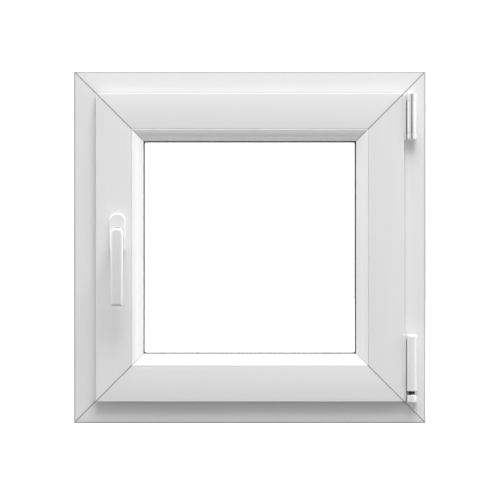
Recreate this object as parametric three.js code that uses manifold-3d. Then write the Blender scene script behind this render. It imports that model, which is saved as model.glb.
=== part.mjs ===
// A small tilt-and-turn casement window in white uPVC, closed, handle down.
// Millimetres. X to the right as seen from the room, Y to the outside, Z up.
// The origin is the middle of the frame's bottom face, at half the frame's depth.
//
// Every frame and sash member, and most hardware, is drawn for one side of the window in
// "side coordinates": x along the side, y through the wall, z = u, the distance inwards
// from the frame's outer edge. sideGroups turn and shift those to the four sides.

import * as THREE from 'three';
import { mergeVertices } from 'three/addons/utils/BufferGeometryUtils.js';
import Module from 'manifold-3d';

const wasm = await Module();
wasm.setup();

// ---------------------------------------------------------------- driving dimensions

const windowWidth = 600;
const windowHeight = 600;
const gap = 0.3; // air between pieces that touch on the real window
const mitreGap = 0.15; // each member stops this far short of its weld plane

// outer frame profile
const frameFace = 46; // width of the frame's room face
const frameDepth = 70;
const stopHeight = 20; // outside stop that the sash closes against
const stopDepth = 15;
const frameWall = 2.8;
const chamberWeb = 1.5; // wall between two chambers
const drainCap = { length: 42, height: 12, proud: 4, wall: 1.5 };
const steelChamber = { width: 24, depth: 34, fromEdge: 9.5, fromFace: 10 };
const steelWall = 1.5;
const steelFit = 0.5; // air round the steel in its chamber
const profileChamfer = 1.2; // on the outer edges of the members

// sash profile
const sashOverlap = 8; // how far the sash lip covers the frame's face
const lipSealGap = 3; // between the frame's face and the back of the sash lip
const lipThickness = 12;
const hardwareGap = 12; // between the frame's rebate floor and the sash's edge
const stopSealGap = 4;
const sashBody = 40; // from the sash's edge to the glazing rebate
const sashWall = 2.8;
const glazingLeg = 20; // outside leg that the glass bears against
const glazingLegDepth = 12;
const grooveCentre = -25; // the hardware groove, in Y
const plateSeat = { width: 16, depth: 3 };
const rodChannel = { width: 12, depth: 6 };

// glass, beads and seals
const paneThickness = 4;
const paneCavity = 16;
const gasketThickness = 3;
const glassEdgeGap = 5; // between the glazing rebate and the edge of the glass
const beadWidth = 21;
const spacerInset = 5;
const spacerWidth = 7;
const sealWidth = 4;
const settingBlockLength = 80;

// handle
const handleAboveCentre = 23;
const handleBackset = 17; // from the sash's edge to the spindle
const spindleSquare = 7;
const rosette = { width: 28, height: 72, thickness: 8.5, wall: 1.4 };
const rosetteRim = 1.2; // bevel round the rosette
const hubRadius = 10;
const lever = { length: 121, width: 22, endWidth: 20, thickness: 12, reach: 55, chamfer: 2.6 };
const neckSunk = 5; // start of the neck, behind the grip's front face
const socketFloor = 14; // start of the square socket, behind the same face
const socketFit = 0.3; // air on each side of the spindle in its socket
const handleScrewSpacing = 43;
const screwRadius = 2.4;
const headRadius = 4.2; // of the handle's two screws
const headDepth = 2.6;
const hubRecess = 1.5; // how far the lever's neck drops into the base

// drive: pinion, rods, cams, face plates, keepers
const toothModule = 1;
const pinionTeeth = 22;
const pinionThickness = 8;
const hubJournal = 6.5; // radius of the pinion's bearing in the gearbox
const rodThickness = 1.5;
const plateThickness = 2.4;
const cornerLeg = 45;
const camRadius = 3.5;
const camClearance = 0.5; // between a cam's end and a keeper's lip
const keeper = { length: 50, width: 22, base: 2.4, lip: 4.2, screwHead: 3.4 };
const rodEnd = 12; // air between a rod's end and the groove's corner
const headRodStart = 48; // from the middle of the side
const sillRodEnd = 40;
const sillPlateEnd = 90;
const camPlace = { sideUpper: 0.55, sideLower: 0.47, head: 0.5, sill: 0.5 }; // of half the groove
const gearboxHalf = 47;
const gearboxWall = 1.3;

// hinges
const hingeAxisInset = 24.5; // of the turning axis, from the frame's right-hand edge
const hingeAxisProud = 10; // in front of the frame's face
const barrelRadius = 8.6;
const hingePinRadius = 3.2;
const runningGap = 0.4;
const leafThickness = 2.2;
const upperHinge = { fromTop: 38, eye: 12, bearing: 55, collar: 11 };
const lowerHinge = { ballHeight: 42.5, ballRadius: 5.1, cupBottom: 36, cupTop: 49 };
const lowerCover = { bottom: 56, top: 152, wall: 1.6, steps: 40, squareness: 2.6 };
const hingeLeg = 2.3; // thickness of the band's leg along the sash's edge
const stay = { reach: 260, width: 14, thickness: 3, studRadius: 2.5, slotSlack: 1.2, guideEnd: 12 };
const stayTravel = 11; // of the stud along its guide while the sash tilts

// ---------------------------------------------------------------- worked-out planes

const frontY = -frameDepth / 2; // room face of the frame
const backY = frameDepth / 2;
const stopY = backY - stopDepth;
const lipBackY = frontY - lipSealGap;
const sashFrontY = lipBackY - lipThickness;
const sashBackY = stopY - stopSealGap;

const lipEdge = frameFace - sashOverlap; // u of the sash's outermost edge
const sashEdge = frameFace + hardwareGap; // u of the sash body's edge
const rebateEdge = sashEdge + sashBody; // u of the glazing rebate
const legEdge = rebateEdge + glazingLeg;
const grooveFloor = sashEdge + plateSeat.depth + rodChannel.depth;
const glassEdge = rebateEdge + glassEdgeGap;

const legY = sashBackY - glazingLegDepth;
const paneOuterY = legY - gasketThickness;
const paneInnerY = paneOuterY - 2 * paneThickness - paneCavity;
const beadBackY = paneInnerY - gasketThickness;

const plateBottom = sashEdge + gap; // u of the face plates
const rodTop = sashEdge + plateSeat.depth + 0.1;
const rodBack = rodTop + rodThickness;
const spindleU = sashEdge + handleBackset;
const spindleHeight = windowHeight / 2 + handleAboveCentre;
const pitchRadius = (toothModule * pinionTeeth) / 2;
const pitchLine = spindleU - pitchRadius; // u of the rack's pitch line
const rodTravel = Math.PI * pitchRadius; // over the handle's half turn
const keeperTop = frameFace + gap + keeper.lip;

const hingeX = windowWidth / 2 - hingeAxisInset;
const hingeY = frontY - hingeAxisProud;
const leafFrontY = (lipBackY + frontY) / 2 - leafThickness / 2;
const leafBackY = leafFrontY + leafThickness;
const stayBottom = windowHeight - sashEdge + 4.5; // Z of the stay arm's underside
const studX = hingeX - stay.reach;

// ---------------------------------------------------------------- materials

const finish = (color, roughness, metalness = 0) =>
  new THREE.MeshStandardMaterial({ color, roughness, metalness });

const pvc = finish(0xf4f5f6, 0.32);
const cap = finish(0xf1f2f3, 0.38);
const coated = finish(0xf2f2f2, 0.3);
const steel = finish(0xb9bcc0, 0.45, 1);
const zinc = finish(0xc6c8ca, 0.35, 1);
const rubber = finish(0x8f9296, 0.7);
const darkRubber = finish(0x2b2c2e, 0.75);
const aluminium = finish(0xb4b6b8, 0.4, 1);
const nylon = finish(0x3a3c40, 0.5);
const glass = new THREE.MeshStandardMaterial({
  color: 0xe9f2f0,
  roughness: 0.03,
  metalness: 0,
  transparent: true,
  opacity: 0.25,
});

// ---------------------------------------------------------------- solids

function toSolid(geometry) {
  const bare = geometry.clone();
  bare.deleteAttribute('normal');
  bare.deleteAttribute('uv');
  const merged = mergeVertices(bare, 1e-4);
  return new wasm.Manifold(new wasm.Mesh({
    numProp: 3,
    vertProperties: new Float32Array(merged.attributes.position.array),
    triVerts: new Uint32Array(merged.index.array),
  }));
}

function toGeometry(solid) {
  const mesh = solid.getMesh();
  const geometry = new THREE.BufferGeometry();
  geometry.setAttribute('position', new THREE.BufferAttribute(mesh.vertProperties, 3));
  geometry.setIndex(new THREE.BufferAttribute(mesh.triVerts, 1));
  geometry.computeVertexNormals();
  return geometry;
}

const join = (first, ...rest) =>
  toGeometry(rest.reduce((solid, piece) => solid.add(toSolid(piece)), toSolid(first)));

const cut = (first, ...rest) =>
  toGeometry(rest.reduce((solid, piece) => solid.subtract(toSolid(piece)), toSolid(first)));

// a box from its lowest to its highest corner
function block([x0, x1], [y0, y1], [z0, z1]) {
  const geometry = new THREE.BoxGeometry(x1 - x0, y1 - y0, z1 - z0);
  return geometry.translate((x0 + x1) / 2, (y0 + y1) / 2, (z0 + z1) / 2);
}

// a round bar along Y or Z
function barY(radius, [y0, y1], x, z, segments = 24) {
  const geometry = new THREE.CylinderGeometry(radius, radius, y1 - y0, segments);
  return geometry.translate(x, (y0 + y1) / 2, z);
}

function barZ(radius, [z0, z1], x, y, segments = 24) {
  const geometry = new THREE.CylinderGeometry(radius, radius, z1 - z0, segments);
  return geometry.rotateX(Math.PI / 2).translate(x, y, (z0 + z1) / 2);
}

// a body of revolution about Z from (radius, z) points that start and end on the axis
function turnedZ(points, x, y, segments = 24) {
  const profile = points.map(([radius, z]) => new THREE.Vector2(radius, z));
  const geometry = new THREE.LatheGeometry(profile, segments);
  return geometry.rotateX(Math.PI / 2).translate(x, y, 0);
}

// the same about Y
function turnedY(points, x, z, segments = 24) {
  const profile = points.map(([radius, y]) => new THREE.Vector2(radius, y));
  const geometry = new THREE.LatheGeometry(profile, segments);
  return geometry.translate(x, 0, z);
}

const outline = (points) => new THREE.Shape(points.map(([x, y]) => new THREE.Vector2(x, y)));

const rectangle = ([x0, x1], [y0, y1]) => outline([[x0, y0], [x1, y0], [x1, y1], [x0, y1]]);

// an upright oblong with semicircular ends, centred on (0, 0)
function stadium(width, height) {
  const radius = width / 2;
  const straight = height / 2 - radius;
  const shape = new THREE.Shape();
  shape.absarc(0, straight, radius, 0, Math.PI, false);
  shape.absarc(0, -straight, radius, Math.PI, 2 * Math.PI, false);
  shape.closePath();
  return shape;
}

// an (x, z) outline carried through the wall from y0 to y1
function slabY(shape, [y0, y1], x = 0, z = 0, curveSegments = 10) {
  const depth = y1 - y0;
  const geometry = new THREE.ExtrudeGeometry(shape, { depth, bevelEnabled: false, curveSegments });
  return geometry.rotateX(Math.PI / 2).translate(x, y1, z);
}

// ---------------------------------------------------------------- sides and members

const halfWidth = windowWidth / 2;
const halfHeight = windowHeight / 2;

const sides = {
  sill: { angle: 0, halfAcross: halfHeight, halfAlong: halfWidth },
  left: { angle: Math.PI / 2, halfAcross: halfWidth, halfAlong: halfHeight },
  head: { angle: Math.PI, halfAcross: halfHeight, halfAlong: halfWidth },
  right: { angle: -Math.PI / 2, halfAcross: halfWidth, halfAlong: halfHeight },
};

const casement = new THREE.Group();
const sideGroups = {};
for (const [side, { angle, halfAcross }] of Object.entries(sides)) {
  const turned = new THREE.Group();
  turned.position.z = halfHeight;
  turned.rotation.y = angle;
  const shifted = new THREE.Group();
  shifted.position.z = -halfAcross;
  turned.add(shifted);
  casement.add(turned);
  sideGroups[side] = shifted;
}

function add(group, name, geometry, material) {
  const mesh = new THREE.Mesh(geometry, material);
  mesh.name = name;
  group.add(mesh);
}

// A (u, y) profile run along one side, with its ends cut on the mitre. The extruded
// depth only tells the two ends apart: each point's u sets how far along it reaches.
function mitred(profile, side, overrun = -mitreGap) {
  const options = { depth: 1, bevelEnabled: false, curveSegments: 4 };
  const geometry = new THREE.ExtrudeGeometry(profile, options);
  const position = geometry.attributes.position;
  for (let i = 0; i < position.count; i += 1) {
    const u = position.getX(i);
    const y = position.getY(i);
    const end = position.getZ(i) > 0.5 ? 1 : -1;
    const reach = sides[side].halfAlong - u + overrun;
    position.setXYZ(i, -end * reach, y, u);
  }
  return geometry;
}

// a mitred member with its hollow chambers cut right through it
const hollowMember = ({ wall, chambers }, side, ...cuts) =>
  cut(mitred(wall, side), ...chambers.map((chamber) => mitred(chamber, side, 1)), ...cuts);

// a flat ring, u0 to u1 in from the frame's edge, from y0 to y1
function ring([u0, u1], [y0, y1]) {
  const shape = rectangle([-halfWidth + u0, halfWidth - u0], [-halfHeight + u0, halfHeight - u0]);
  shape.holes.push(
    rectangle([-halfWidth + u1, halfWidth - u1], [-halfHeight + u1, halfHeight - u1]));
  return slabY(shape, [y0, y1], 0, halfHeight);
}

// ---------------------------------------------------------------- outer frame

const frameSteelU = frameWall + steelChamber.fromEdge;
const frameSteelY = frontY + frameWall + steelChamber.fromFace;

function frameProfile() {
  const innerFace = frameFace - frameWall;
  const stopFace = frameFace + stopHeight - frameWall;
  const steelEndU = frameSteelU + steelChamber.width;
  const steelEndY = frameSteelY + steelChamber.depth;
  const wall = outline([
    [0, frontY],
    [frameFace - profileChamfer, frontY],
    [frameFace, frontY + profileChamfer],
    [frameFace, stopY],
    [frameFace + stopHeight, stopY],
    [frameFace + stopHeight, backY - profileChamfer],
    [frameFace + stopHeight - profileChamfer, backY],
    [0, backY],
  ]);
  const chambers = [
    rectangle([frameWall, frameSteelU - chamberWeb], [frontY + frameWall, backY - frameWall]),
    rectangle([frameSteelU, innerFace], [frontY + frameWall, frameSteelY - chamberWeb]),
    rectangle([frameSteelU, steelEndU], [frameSteelY, steelEndY]),
    rectangle([steelEndU + chamberWeb, innerFace], [frameSteelY, steelEndY]),
    rectangle([frameSteelU, innerFace], [steelEndY + chamberWeb, backY - frameWall]),
    rectangle([frameFace, stopFace], [stopY + frameWall, backY - frameWall]),
  ];
  return { wall, chambers };
}

// a steel U-section lying in a chamber, open towards the glass
function steelSection([u0, u1], [y0, y1], wall) {
  return outline([
    [u0, y0], [u1, y0], [u1, y0 + wall], [u0 + wall, y0 + wall],
    [u0 + wall, y1 - wall], [u1, y1 - wall], [u1, y1], [u0, y1],
  ]);
}

const frameNames = {
  sill: 'frame_sill',
  left: 'frame_jamb_left',
  head: 'frame_head',
  right: 'frame_jamb_right',
};
for (const [side, name] of Object.entries(frameNames)) {
  add(sideGroups[side], name, hollowMember(frameProfile(), side), pvc);
  const section = steelSection(
    [frameSteelU + steelFit, frameSteelU + steelChamber.width - steelFit],
    [frameSteelY + steelFit, frameSteelY + steelChamber.depth - steelFit],
    steelWall,
  );
  add(sideGroups[side], name.replace('frame', 'frame_steel'), mitred(section, side), steel);
}

add(casement, 'frame_stop_seal',
  ring([sashEdge + 2, sashEdge + 2 + sealWidth], [sashBackY + gap, stopY - gap]), darkRubber);

// a hood over the sill's drain slot, open underneath
function drainHood({ length, height, proud, wall }) {
  const y = [backY + gap, backY + gap + proud];
  const z = [(frameFace - height) / 2, (frameFace + height) / 2];
  const hood = block([-length / 2, length / 2], y, z);
  const mouth = block(
    [wall - length / 2, length / 2 - wall],
    [y[0] - 1, y[1] - wall],
    [z[0] - 1, z[1] - wall],
  );
  return cut(hood, mouth);
}
add(casement, 'drain_cap', drainHood(drainCap), cap);

// ---------------------------------------------------------------- sash

const sashSteelU = [sashEdge + sashWall, rebateEdge - sashWall];
const sashSteelY = [grooveCentre + plateSeat.width / 2 + 2.5, sashBackY - sashWall];

function sashProfile() {
  const seatHalf = plateSeat.width / 2;
  const channelHalf = rodChannel.width / 2;
  const seatFloor = sashEdge + plateSeat.depth;
  const wall = outline([
    [lipEdge + profileChamfer, sashFrontY],
    [rebateEdge, sashFrontY],
    [rebateEdge, legY],
    [legEdge - 3, legY],
    [legEdge, legY + 3],
    [legEdge, sashBackY],
    [sashEdge, sashBackY],
    [sashEdge, grooveCentre + seatHalf],
    [seatFloor, grooveCentre + seatHalf],
    [seatFloor, grooveCentre + channelHalf],
    [grooveFloor, grooveCentre + channelHalf],
    [grooveFloor, grooveCentre - channelHalf],
    [seatFloor, grooveCentre - channelHalf],
    [seatFloor, grooveCentre - seatHalf],
    [sashEdge, grooveCentre - seatHalf],
    [sashEdge, lipBackY],
    [lipEdge, lipBackY],
    [lipEdge, sashFrontY + profileChamfer],
  ]);
  const chamberEnd = sashFrontY + sashWall;
  const roomChamberU = grooveFloor + sashWall;
  const chambers = [
    rectangle([lipEdge + sashWall, roomChamberU - chamberWeb], [chamberEnd, lipBackY - sashWall]),
    rectangle([roomChamberU, rebateEdge - sashWall], [chamberEnd, sashSteelY[0] - chamberWeb]),
    rectangle(sashSteelU, sashSteelY),
    rectangle(
      [rebateEdge - sashWall + chamberWeb, legEdge - sashWall],
      [legY + sashWall, sashBackY - sashWall],
    ),
  ];
  return { wall, chambers };
}

const sashNames = {
  sill: 'sash_sill',
  left: 'sash_stile_left',
  head: 'sash_head',
  right: 'sash_stile_right',
};
const spindleAlong = -handleAboveCentre; // of the spindle, along the left side, downwards

// the left stile is milled for the gearbox, the spindle and the two handle screws
function handleStile() {
  const pocket = block(
    [spindleAlong - gearboxHalf - gap, spindleAlong + gearboxHalf + gap],
    [grooveCentre - rodChannel.width / 2 - gap, grooveCentre + rodChannel.width / 2 + gap],
    [grooveFloor - 1, grooveFloor + sashWall + 1],
  );
  const wallY = [sashFrontY - 1, sashFrontY + sashWall + 1];
  const holes = [-1, 1].map((end) => barY(
    screwRadius + 0.8, wallY, spindleAlong + (end * handleScrewSpacing) / 2, spindleU, 16));
  const spindleHole = barY(hubJournal, wallY, spindleAlong, spindleU);
  return hollowMember(sashProfile(), 'left', pocket, spindleHole, ...holes);
}

for (const [side, name] of Object.entries(sashNames)) {
  const member = side === 'left' ? handleStile() : hollowMember(sashProfile(), side);
  add(sideGroups[side], name, member, pvc);
  const section = steelSection(
    [sashSteelU[0] + steelFit, sashSteelU[1] - steelFit],
    [sashSteelY[0] + steelFit, sashSteelY[1] - steelFit],
    steelWall,
  );
  add(sideGroups[side], name.replace('sash', 'sash_steel'), mitred(section, side), steel);
}

// ---------------------------------------------------------------- glazing

const beadEdge = rebateEdge + gap;
const beadTop = rebateEdge + beadWidth;

// Seen in section: a flat beside the sash, a round fall to a small step, then a gentle
// slope to the glass.
function beadProfile() {
  const shape = new THREE.Shape();
  const stepU = beadEdge + 12;
  const stepY = sashFrontY + 6.5;
  shape.moveTo(beadEdge, sashFrontY + 0.8);
  shape.lineTo(beadEdge + 0.8, sashFrontY);
  shape.lineTo(beadEdge + 3, sashFrontY);
  shape.quadraticCurveTo(stepU - 1.5, sashFrontY, stepU, stepY);
  shape.lineTo(stepU + 0.8, stepY + 0.6);
  shape.quadraticCurveTo(beadTop - 2, stepY + 2, beadTop, stepY + 6);
  shape.lineTo(beadTop, beadBackY - 3);
  shape.lineTo(beadTop - 3, beadBackY - 0.2);
  shape.lineTo(beadEdge, beadBackY - 0.2);
  shape.closePath();
  const inset = 2.2;
  const chamber = rectangle([beadEdge + inset, stepU], [stepY + inset, beadBackY - 3.5]);
  return { wall: shape, chambers: [chamber] };
}

const beadNames = {
  sill: 'bead_bottom',
  left: 'bead_left',
  head: 'bead_top',
  right: 'bead_right',
};
for (const [side, name] of Object.entries(beadNames)) {
  add(sideGroups[side], name, hollowMember(beadProfile(), side), pvc);
}

const paneHalfWidth = halfWidth - glassEdge;
const paneHeight = [glassEdge, windowHeight - glassEdge];
const paneSpan = [-paneHalfWidth, paneHalfWidth];
const cavityY = [paneInnerY + paneThickness, paneOuterY - paneThickness];
add(casement, 'pane_inner', block(paneSpan, [paneInnerY, cavityY[0]], paneHeight), glass);
add(casement, 'pane_outer', block(paneSpan, [cavityY[1], paneOuterY], paneHeight), glass);
add(casement, 'spacer_frame', ring(
  [glassEdge + spacerInset, glassEdge + spacerInset + spacerWidth],
  [cavityY[0] + gap, cavityY[1] - gap],
), aluminium);

add(casement, 'gasket_inner', ring([beadTop - sealWidth - 1, beadTop + 1],
  [beadBackY + gap, paneInnerY - gap]), rubber);
add(casement, 'gasket_outer', ring([legEdge - sealWidth - 1, legEdge + 1],
  [paneOuterY + gap, legY - gap]), darkRubber);

for (const [name, end] of [['setting_block_left', -1], ['setting_block_right', 1]]) {
  const middle = end * (paneHalfWidth - settingBlockLength);
  add(casement, name, block(
    [middle - settingBlockLength / 2, middle + settingBlockLength / 2],
    [beadBackY + 1, legY - 1],
    [rebateEdge + gap, glassEdge - gap],
  ), nylon);
}

// ---------------------------------------------------------------- drive

// The pinion turns in the gearbox with the spindle, and its teeth push the side rod's
// rack. Teeth are straight-sided, thinned by the backlash.
const backlash = 0.4;
const pressureSlope = Math.tan((20 * Math.PI) / 180);

function pinionOutline() {
  const points = [];
  const half = (Math.PI * toothModule) / 4 - backlash / 2;
  const addendum = 0.9 * toothModule;
  const dedendum = 1.2 * toothModule;
  for (let tooth = 0; tooth < pinionTeeth; tooth += 1) {
    // a tooth space faces the rack at rest, because the rack has a tooth there
    const middle = Math.PI + ((tooth + 0.5) * 2 * Math.PI) / pinionTeeth;
    const corner = (radius, halfWidthAt) => {
      const angle = middle + halfWidthAt / pitchRadius;
      return [radius * Math.cos(angle), radius * Math.sin(angle)];
    };
    const rootHalf = half + dedendum * pressureSlope;
    const tipHalf = half - addendum * pressureSlope;
    points.push(
      corner(pitchRadius - dedendum, -rootHalf),
      corner(pitchRadius + addendum, -tipHalf),
      corner(pitchRadius + addendum, tipHalf),
      corner(pitchRadius - dedendum, rootHalf),
    );
  }
  return points;
}

// Drawn round the spindle, in the left side's coordinates: the rack lies towards low u.
function pinion() {
  const shape = outline(pinionOutline().map(([toRack, along]) => [along, toRack]));
  const wheelY = [grooveCentre - pinionThickness / 2, grooveCentre + pinionThickness / 2];
  const wheel = slabY(shape, wheelY, spindleAlong, spindleU);
  const journalY = [grooveCentre - journalHalf, grooveCentre + journalHalf];
  const hub = barY(hubJournal, journalY, spindleAlong, spindleU);
  const hole = spindleSquare / 2 + runningGap / 2;
  const square = block(
    [spindleAlong - hole, spindleAlong + hole],
    [grooveCentre - journalHalf - 1, grooveCentre + journalHalf + 1],
    [spindleU - hole, spindleU + hole],
  );
  return cut(join(wheel, hub), square);
}

const journalHalf = rodChannel.width / 2 - gap;

function gearboxCase() {
  const halfY = rodChannel.width / 2 - gap;
  const backU = spindleU + pitchRadius + 2.5;
  const shell = block(
    [spindleAlong - gearboxHalf, spindleAlong + gearboxHalf],
    [grooveCentre - halfY, grooveCentre + halfY],
    [rodBack + gap, backU],
  );
  const inside = block(
    [spindleAlong - gearboxHalf + gearboxWall, spindleAlong + gearboxHalf - gearboxWall],
    [grooveCentre - halfY + gearboxWall, grooveCentre + halfY - gearboxWall],
    [rodBack, backU - gearboxWall],
  );
  const through = [grooveCentre - halfY - 1, grooveCentre + halfY + 1];
  const holes = [-1, 1].map((end) => barY(
    screwRadius + 0.5, through, spindleAlong + (end * handleScrewSpacing) / 2, spindleU, 16));
  return cut(shell, inside, barY(hubJournal + runningGap, through, spindleAlong, spindleU), ...holes);
}

// one locking cam, standing on a rod and pointing at the frame
function cam(along) {
  const tip = keeperTop + camClearance + 0.6;
  return turnedZ([
    [0, rodBack],
    [camRadius, rodBack],
    [camRadius, tip + 2.2],
    [camRadius + 1, tip + 2],
    [camRadius + 1, tip],
    [0, tip],
  ].reverse(), along, grooveCentre, 20);
}

function rod([x0, x1], cams) {
  const halfY = rodChannel.width / 2 - gap;
  const bar = block([x0, x1], [grooveCentre - halfY, grooveCentre + halfY], [rodTop, rodBack]);
  return join(bar, ...cams.map(cam));
}

// Rack teeth on the side rod: at rest they reach from below the pinion to one travel
// above it, and slide down past it.
function rack() {
  const pitch = Math.PI * toothModule;
  const count = Math.ceil(rodTravel / pitch) + 5;
  const half = pitch / 4 - backlash / 2;
  const tipU = pitchLine + 0.9 * toothModule;
  const rootU = rodBack - 0.2;
  const teeth = [];
  for (let tooth = 0; tooth < count; tooth += 1) {
    const middle = spindleAlong - (tooth - 2) * pitch;
    const rootHalf = half + (pitchLine - rootU) * pressureSlope;
    const tipHalf = half - (tipU - pitchLine) * pressureSlope;
    const shape = outline([
      [middle - rootHalf, -rootU], [middle + rootHalf, -rootU],
      [middle + tipHalf, -tipU], [middle - tipHalf, -tipU],
    ].reverse());
    const rackHalf = pinionThickness / 2 - 0.2;
    const geometry = new THREE.ExtrudeGeometry(shape, { depth: 2 * rackHalf, bevelEnabled: false });
    teeth.push(geometry.rotateX(-Math.PI / 2).translate(0, grooveCentre - rackHalf, 0));
  }
  return teeth;
}

// where rods may lie: along each side up to the groove's corner
const grooveHalf = (side) => sides[side].halfAlong - grooveFloor;
const slotEnd = camRadius + 1.5;

// Every rod moves towards +x of its own side: down, to the left, to the right.
const rods = {
  side: {
    group: 'left',
    span: [rodEnd - grooveHalf('left'), grooveHalf('left') - rodEnd - rodTravel],
    cams: [-camPlace.sideUpper * grooveHalf('left'), camPlace.sideLower * grooveHalf('left')],
  },
  head: {
    group: 'head',
    span: [headRodStart, grooveHalf('head') - rodEnd - rodTravel],
    cams: [camPlace.head * grooveHalf('head')],
  },
  sill: {
    group: 'sill',
    span: [rodEnd - grooveHalf('sill'), sillRodEnd],
    cams: [-camPlace.sill * grooveHalf('sill')],
  },
};

const plateHalfY = plateSeat.width / 2 - gap;
const plateY = [grooveCentre - plateHalfY, grooveCentre + plateHalfY];
const plateU = [plateBottom, plateBottom + plateThickness];

function facePlate([x0, x1], cams) {
  const slots = cams.map((along) => block(
    [along - slotEnd, along + rodTravel + slotEnd],
    [grooveCentre - camRadius - 0.6, grooveCentre + camRadius + 0.6],
    [plateU[0] - 1, plateU[1] + 1],
  ));
  return cut(block([x0, x1], plateY, plateU), ...slots);
}

// a keeper on the frame's rebate floor, its low lip on the room side of the cam
function keeperPlate(along) {
  const halfLength = keeper.length / 2;
  const y0 = grooveCentre - 9;
  const lipY = [y0, y0 + 2.6];
  const floor = frameFace + gap;
  const base = block(
    [along - halfLength, along + halfLength],
    [y0, y0 + keeper.width],
    [floor, floor + keeper.base],
  );
  const shape = outline([
    [along - halfLength + 8, -floor], [along - halfLength + 12, -keeperTop],
    [along + halfLength - 12, -keeperTop], [along + halfLength - 8, -floor],
  ]);
  const lip = new THREE.ExtrudeGeometry(shape, { depth: lipY[1] - lipY[0], bevelEnabled: false });
  lip.rotateX(-Math.PI / 2).translate(0, lipY[0], 0);
  const screwZ = [floor + keeper.base - 0.5, floor + keeper.base + 0.7];
  const screws = [-1, 1].map((end) => barZ(
    keeper.screwHead, screwZ, along + end * (halfLength - 5), y0 + 12, 16));
  return join(base, lip, ...screws);
}

for (const [name, { group, span, cams }] of Object.entries(rods)) {
  const plain = rod(span, cams);
  add(sideGroups[group], `drive_rod_${name}`, name === 'side' ? join(plain, ...rack()) : plain, zinc);
}
add(sideGroups.left, 'gearbox_case', gearboxCase(), zinc);
add(sideGroups.left, 'drive_pinion', pinion(), steel);

const legEnd = cornerLeg + gap;
const plateEnd = (side) => sides[side].halfAlong - sashEdge - legEnd;
const plateSpans = {
  side: [-plateEnd('left'), plateEnd('left')],
  head: [headRodStart, plateEnd('head')],
  sill: [-plateEnd('sill'), sillPlateEnd],
};
for (const [name, { group, cams }] of Object.entries(rods)) {
  add(sideGroups[group], `face_plate_${name}`, facePlate(plateSpans[name], cams), zinc);
}

const keepers = [
  ['keeper_side_upper', 'left', rods.side.cams[0]],
  ['keeper_side_lower', 'left', rods.side.cams[1]],
  ['keeper_head', 'head', rods.head.cams[0]],
  ['keeper_sill', 'sill', rods.sill.cams[0]],
];
for (const [name, side, along] of keepers) {
  add(sideGroups[side], name, keeperPlate(along), zinc);
}

// corner guides: an L of plate round each left-hand corner of the sash's groove
function cornerGuide(top) {
  const x0 = -halfWidth + plateBottom;
  const z0 = top ? windowHeight - plateBottom : plateBottom;
  const up = top ? -1 : 1;
  const leg = cornerLeg - gap;
  const across = block([x0, x0 + leg], plateY, [z0, z0 + up * plateThickness].sort((a, b) => a - b));
  const upright = block([x0, x0 + plateThickness], plateY, [z0, z0 + up * leg].sort((a, b) => a - b));
  return join(across, upright);
}
add(casement, 'corner_guide_upper', cornerGuide(true), zinc);
add(casement, 'corner_guide_lower', cornerGuide(false), zinc);

// ---------------------------------------------------------------- handle

const handleX = -halfWidth + spindleU;
const rosetteY = [sashFrontY - gap - rosette.thickness, sashFrontY - gap];
const baseY = [rosetteY[0] + rosette.wall + gap, rosetteY[1]];
const baseInset = 2 * (rosette.wall + gap);
const baseSize = { width: rosette.width - baseInset, height: rosette.height - baseInset };
const hubHole = hubRadius + runningGap;
const screwAt = [-1, 1].map((end) => spindleHeight + (end * handleScrewSpacing) / 2);

const throughBase = [baseY[0] - 1, baseY[1] + 1];
const headSeat = [throughBase[0], baseY[0] + headDepth + gap];
const base = slabY(stadium(baseSize.width, baseSize.height), baseY, handleX, spindleHeight);
add(casement, 'handle_base', cut(
  base,
  barY(spindleSquare, throughBase, handleX, spindleHeight),
  ...screwAt.map((z) => barY(screwRadius + 0.4, throughBase, handleX, z, 16)),
  ...screwAt.map((z) => barY(headRadius + gap, headSeat, handleX, z, 20)),
  barY(hubHole, [throughBase[0], baseY[0] + hubRecess], handleX, spindleHeight),
), steel);

const rosetteBevel = new THREE.ExtrudeGeometry(
  stadium(rosette.width - 2 * rosetteRim, rosette.height - 2 * rosetteRim),
  { depth: rosette.thickness - rosetteRim, bevelEnabled: true, bevelSize: rosetteRim,
    bevelThickness: rosetteRim, bevelSegments: 2, curveSegments: 10 },
).rotateX(Math.PI / 2).translate(handleX, rosetteY[1], spindleHeight);
const beyondBack = block([handleX - 30, handleX + 30], [rosetteY[1], rosetteY[1] + 5],
  [spindleHeight - 60, spindleHeight + 60]);
const pocketSize = [baseSize.width + 2 * gap, baseSize.height + 2 * gap];
add(casement, 'rosette_cover', cut(
  rosetteBevel,
  beyondBack,
  slabY(stadium(...pocketSize), [rosetteY[0] + rosette.wall, rosetteY[1] + 1], handleX, spindleHeight),
  barY(hubHole, [rosetteY[0] - 5, rosetteY[1]], handleX, spindleHeight),
), coated);

const screwTipY = grooveCentre + rodChannel.width / 2 + 2;
for (const [name, z] of [['handle_screw_lower', screwAt[0]], ['handle_screw_upper', screwAt[1]]]) {
  const headY = baseY[0] + 0.2;
  add(casement, name, turnedY([
    [0, headY], [headRadius, headY], [headRadius, headY + headDepth - 1], [screwRadius, headY + headDepth],
    [screwRadius, screwTipY - 1.5], [0, screwTipY],
  ], handleX, z, 16), zinc);
}

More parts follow.
